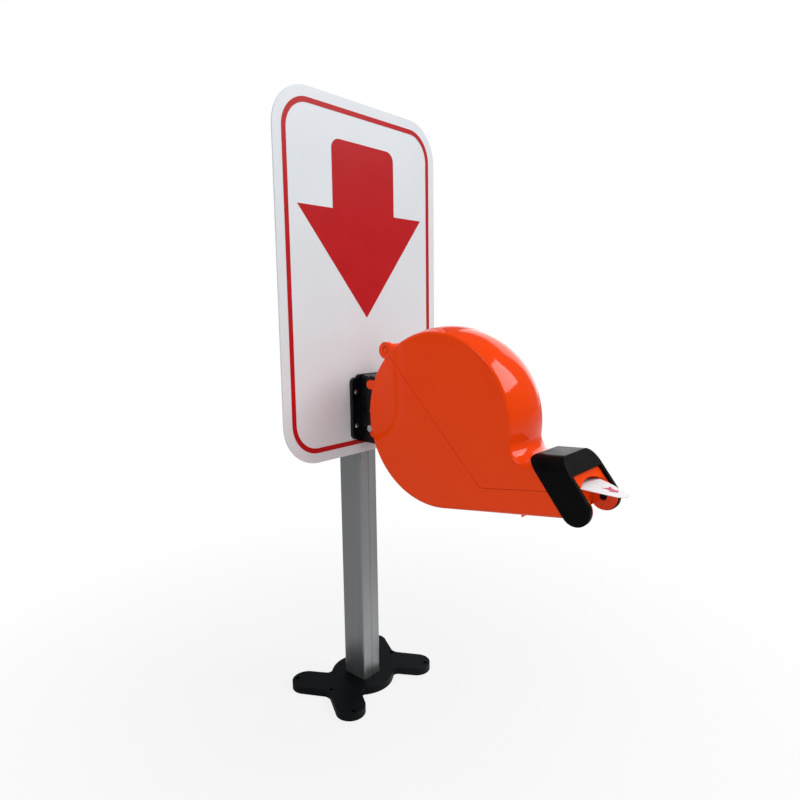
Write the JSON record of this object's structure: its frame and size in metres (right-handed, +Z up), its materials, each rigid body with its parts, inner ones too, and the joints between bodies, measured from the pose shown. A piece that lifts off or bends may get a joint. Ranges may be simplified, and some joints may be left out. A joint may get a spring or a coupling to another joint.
{
  "type": "take-a-number ticket dispenser",
  "caption": "Round ticket dispenser with a hinged lid and tipping nose hood, on a bracket in front of an arrow sign held by a post on a flat foot.",
  "frame": {"origin": "middle of the foot's underside, on the post's centre line", "axes": "+X to the sign's right side, -Y to the front where the ticket comes out, +Z up"},
  "size_m": [0.1984, 0.3127, 0.5476],
  "materials": {
    "foot_paint": "satin",
    "screw_steel": "satin",
    "post_aluminium": "satin",
    "cap_plastic": "matte",
    "sign_board": "gloss",
    "sign_print": "gloss",
    "tape_foam": "matte",
    "bracket_plastic": "matte",
    "shell_plastic": "gloss",
    "hood_plastic": "satin",
    "paper_white": "matte",
    "core_card": "matte",
    "ticket_print": "matte"
  },
  "bodies": {
    "stand": {"foot_plate": "foot_paint", "foot_screws": "screw_steel", "post": "post_aluminium", "post_cap": "cap_plastic", "sign_panel": "sign_board", "sign_line": "sign_print", "sign_arrow": "sign_print", "mounting_tape": "tape_foam", "wall_bracket": "bracket_plastic", "bracket_screws": "screw_steel", "bracket_nuts": "screw_steel", "post_screws": "screw_steel", "base_shell": "shell_plastic", "lock_screws": "screw_steel", "hinge_pin": "shell_plastic", "ticket_strip": "paper_white"},
    "lid": {"lid_shell": "shell_plastic"},
    "hood": {"nose_hood": "hood_plastic"},
    "roll": {"ticket_roll": "paper_white", "roll_core": "core_card"},
    "ticket_body": {"ticket": "paper_white", "ticket_arrow": "ticket_print"}
  },
  "joints": [
    {"name": "lid_hinge", "type": "hinge", "parent": "stand", "child": "lid", "pos_m": [0, -0.06185, 0.33467], "axis": [-1, 0, 0], "range_deg": [0, 100]},
    {"name": "hood_tip", "type": "hinge", "parent": "lid", "child": "hood", "pos_m": [0, -0.23744, 0.23005], "axis": [1, 0, 0], "range_deg": [0, 55]},
    {"name": "roll_spin", "type": "hinge", "parent": "stand", "child": "roll", "pos_m": [0, -0.11285, 0.2699], "axis": [-1, 0, 0], "range_deg": [0, 47.7]},
    {"name": "ticket_pull", "type": "slide", "parent": "stand", "child": "ticket_body", "axis": [0, -0.9994, -0.0349], "range_m": [0, 0.05]}
  ],
  "couplings": [
    {"joint": "ticket_pull", "follows": "roll_spin", "m_per_rad": 0.06}
  ]
}
